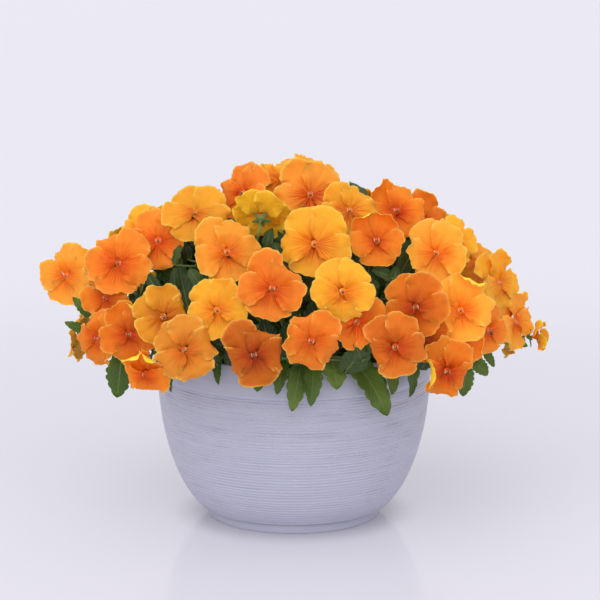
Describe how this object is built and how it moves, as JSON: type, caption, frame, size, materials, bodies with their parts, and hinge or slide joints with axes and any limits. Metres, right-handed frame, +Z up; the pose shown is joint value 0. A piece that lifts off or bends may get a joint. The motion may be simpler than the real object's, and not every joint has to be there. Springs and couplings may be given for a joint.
{
  "type": "potted pansy planter",
  "caption": "Round patio bowl planter filled with soil and planted with a full mound of ruffled orange and golden pansies over toothed green leaves.",
  "frame": {"origin": "middle of the bowl's flat underside, on the ground", "axes": "+Z up along the bowl's turned axis, -Y towards the side first seen, +X to its right"},
  "size_m": [0.4684, 0.4163, 0.3438],
  "materials": {
    "bowl": "satin moulded plastic, pale lilac grey, finely ridged",
    "soil": "crumbly dark potting soil",
    "foliage": "soft green living leaf and stem",
    "petals_light": "velvety light orange petal",
    "petals_orange": "velvety orange petal",
    "petals_golden": "velvety golden orange petal",
    "petals_deep": "velvety deep orange petal"
  },
  "bodies": {
    "root": {"bloom_01": "petals_deep", "bloom_02": "petals_light", "bloom_03": "petals_golden", "bloom_04": "petals_golden", "bloom_05": "petals_orange", "bloom_06": "petals_light", "bloom_07": "petals_golden", "bloom_08": "petals_deep", "bloom_09": "petals_orange", "bloom_10": "petals_orange", "bloom_11": "petals_deep", "bloom_12": "petals_orange", "bloom_13": "petals_deep", "bloom_14": "petals_light", "bloom_15": "petals_golden", "bloom_16": "petals_deep", "bloom_17": "petals_deep", "bloom_18": "petals_light", "bloom_19": "petals_orange", "bloom_20": "petals_light", "bloom_21": "petals_deep", "bloom_22": "petals_light", "bloom_23": "petals_golden", "bloom_24": "petals_deep", "bloom_25": "petals_golden", "bloom_26": "petals_orange", "bloom_27": "petals_deep", "bloom_28": "petals_orange", "bloom_29": "petals_light", "bloom_30": "petals_golden", "bloom_31": "petals_golden", "bloom_32": "petals_golden", "bloom_33": "petals_deep", "bloom_34": "petals_deep", "bloom_35": "petals_orange", "bloom_36": "petals_light", "bloom_37": "petals_orange", "bloom_38": "petals_golden", "bloom_39": "petals_light", "bloom_40": "petals_golden", "bloom_41": "petals_golden", "bloom_bunch_42": "petals_light", "bloom_bunch_43": "petals_orange", "bloom_bunch_44": "petals_golden", "bloom_bunch_45": "petals_deep", "bloom_bunch_46": "petals_light", "bloom_bunch_47": "petals_orange", "bloom_bunch_48": "petals_golden", "bloom_bunch_49": "petals_deep", "bloom_bunch_50": "petals_light", "bloom_bunch_51": "petals_golden", "bloom_bunch_52": "petals_deep", "bloom_bunch_53": "petals_light", "bloom_bunch_54": "petals_orange", "pansy_plant_1": "foliage", "pansy_plant_2": "foliage", "pansy_plant_3": "foliage", "planter_bowl": "bowl", "potting_soil": "soil"}
  },
  "joints": []
}
